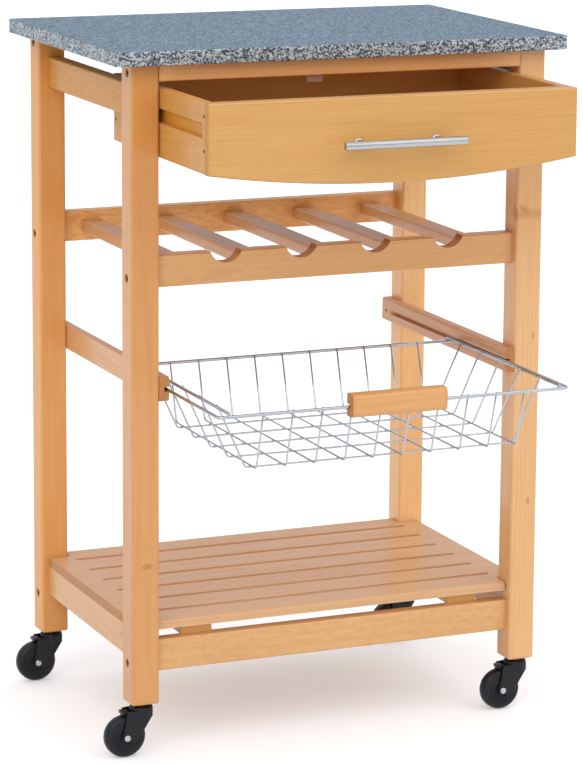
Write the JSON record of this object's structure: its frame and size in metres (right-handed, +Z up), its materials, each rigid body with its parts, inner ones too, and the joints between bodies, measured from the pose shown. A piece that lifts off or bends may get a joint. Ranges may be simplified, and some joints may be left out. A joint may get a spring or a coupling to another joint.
{
  "type": "kitchen trolley",
  "caption": "Wooden kitchen trolley with stone worktop, sliding drawer, wine rack, pull-out wire basket and slatted shelf on swivelling braked casters.",
  "frame": {"origin": "the floor point under the middle of the worktop and of the four legs", "axes": "+Z up, -Y towards the drawer's front, +X to the right of someone facing the front"},
  "size_m": [0.578, 0.556, 0.836],
  "materials": {
    "granite": "polished speckled grey granite",
    "varnished_pine": "satin honey-coloured varnish",
    "stained_wood": "amber varnished inside of the drawer",
    "satin_steel": "satin",
    "chromed_wire": "bright",
    "zinc_steel": "zinc plated",
    "bronzed_steel": "bronzed",
    "black_plastic": "fine texture",
    "black_tread": "matte",
    "pale_plastic": "smooth"
  },
  "bodies": {
    "frame": {"worktop": "granite", "leg_front_left": "varnished_pine", "leg_front_right": "varnished_pine", "leg_back_left": "varnished_pine", "leg_back_right": "varnished_pine", "top_rail_front": "varnished_pine", "top_rail_back": "varnished_pine", "lower_rail_front": "varnished_pine", "lower_rail_back": "varnished_pine", "wine_rail_front": "varnished_pine", "wine_rail_back": "varnished_pine", "wine_slat_1": "varnished_pine", "wine_slat_2": "varnished_pine", "wine_slat_3": "varnished_pine", "wine_slat_4": "varnished_pine", "wine_slat_5": "varnished_pine", "upper_side_rail_left": "varnished_pine", "lower_side_rail_left": "varnished_pine", "drawer_runner_left": "varnished_pine", "basket_runner_left": "varnished_pine", "upper_side_rail_right": "varnished_pine", "lower_side_rail_right": "varnished_pine", "drawer_runner_right": "varnished_pine", "basket_runner_right": "varnished_pine", "shelf_board": "varnished_pine", "shelf_battens": "varnished_pine", "drawer_stop": "pale_plastic", "frame_bolts": "bronzed_steel", "rail_dowels": "varnished_pine", "wood_screws": "bronzed_steel", "caster_stems": "zinc_steel"},
    "drawer": {"drawer_front": "varnished_pine", "drawer_side_left": "varnished_pine", "drawer_side_right": "varnished_pine", "drawer_back": "stained_wood", "drawer_bottom": "stained_wood", "drawer_handle_bar": "satin_steel", "drawer_handle_posts": "satin_steel", "drawer_screws": "bronzed_steel"},
    "basket": {"basket_frame_wire": "chromed_wire", "basket_side_bars": "chromed_wire", "basket_long_wires": "chromed_wire", "basket_cross_wires": "chromed_wire", "basket_grip": "varnished_pine"},
    "caster_front_left": {"caster_fork_front_left": "black_plastic", "caster_axle_front_left": "zinc_steel"},
    "wheel_front_left": {"caster_wheel_front_left": "black_tread"},
    "lever_front_left": {"brake_lever_front_left": "black_plastic"},
    "caster_front_right": {"caster_fork_front_right": "black_plastic", "caster_axle_front_right": "zinc_steel"},
    "wheel_front_right": {"caster_wheel_front_right": "black_tread"},
    "lever_front_right": {"brake_lever_front_right": "black_plastic"},
    "caster_back_left": {"caster_fork_back_left": "black_plastic", "caster_axle_back_left": "zinc_steel"},
    "wheel_back_left": {"caster_wheel_back_left": "black_tread"},
    "lever_back_left": {"brake_lever_back_left": "black_plastic"},
    "caster_back_right": {"caster_fork_back_right": "black_plastic", "caster_axle_back_right": "zinc_steel"},
    "wheel_back_right": {"caster_wheel_back_right": "black_tread"},
    "lever_back_right": {"brake_lever_back_right": "black_plastic"}
  },
  "joints": [
    {"name": "drawer_slide", "type": "slide", "parent": "frame", "child": "drawer", "axis": [0, -1, 0], "range_m": [-0.15, 0.12]},
    {"name": "basket_slide", "type": "slide", "parent": "frame", "child": "basket", "axis": [0, -1, 0], "range_m": [-0.18, 0.09]},
    {"name": "swivel_front_left", "type": "hinge", "parent": "frame", "child": "caster_front_left", "pos_m": [-0.246, -0.163, 0.057], "axis": [0, 0, 1], "continuous": true},
    {"name": "roll_front_left", "type": "hinge", "parent": "caster_front_left", "child": "wheel_front_left", "pos_m": [-0.267, -0.163, 0.025], "axis": [0, 1, 0], "continuous": true},
    {"name": "brake_front_left", "type": "hinge", "parent": "caster_front_left", "child": "lever_front_left", "pos_m": [-0.2641, -0.163, 0.0536], "axis": [0, 1, 0], "range_deg": [0, 22]},
    {"name": "swivel_front_right", "type": "hinge", "parent": "frame", "child": "caster_front_right", "pos_m": [0.246, -0.163, 0.057], "axis": [0, 0, 1], "continuous": true},
    {"name": "roll_front_right", "type": "hinge", "parent": "caster_front_right", "child": "wheel_front_right", "pos_m": [0.225, -0.163, 0.025], "axis": [0, 1, 0], "continuous": true},
    {"name": "brake_front_right", "type": "hinge", "parent": "caster_front_right", "child": "lever_front_right", "pos_m": [0.2279, -0.163, 0.0536], "axis": [0, 1, 0], "range_deg": [0, 22]},
    {"name": "swivel_back_left", "type": "hinge", "parent": "frame", "child": "caster_back_left", "pos_m": [-0.246, 0.163, 0.057], "axis": [0, 0, 1], "continuous": true},
    {"name": "roll_back_left", "type": "hinge", "parent": "caster_back_left", "child": "wheel_back_left", "pos_m": [-0.267, 0.163, 0.025], "axis": [0, 1, 0], "continuous": true},
    {"name": "brake_back_left", "type": "hinge", "parent": "caster_back_left", "child": "lever_back_left", "pos_m": [-0.2641, 0.163, 0.0536], "axis": [0, 1, 0], "range_deg": [0, 22]},
    {"name": "swivel_back_right", "type": "hinge", "parent": "frame", "child": "caster_back_right", "pos_m": [0.246, 0.163, 0.057], "axis": [0, 0, 1], "continuous": true},
    {"name": "roll_back_right", "type": "hinge", "parent": "caster_back_right", "child": "wheel_back_right", "pos_m": [0.225, 0.163, 0.025], "axis": [0, 1, 0], "continuous": true},
    {"name": "brake_back_right", "type": "hinge", "parent": "caster_back_right", "child": "lever_back_right", "pos_m": [0.2279, 0.163, 0.0536], "axis": [0, 1, 0], "range_deg": [0, 22]}
  ]
}
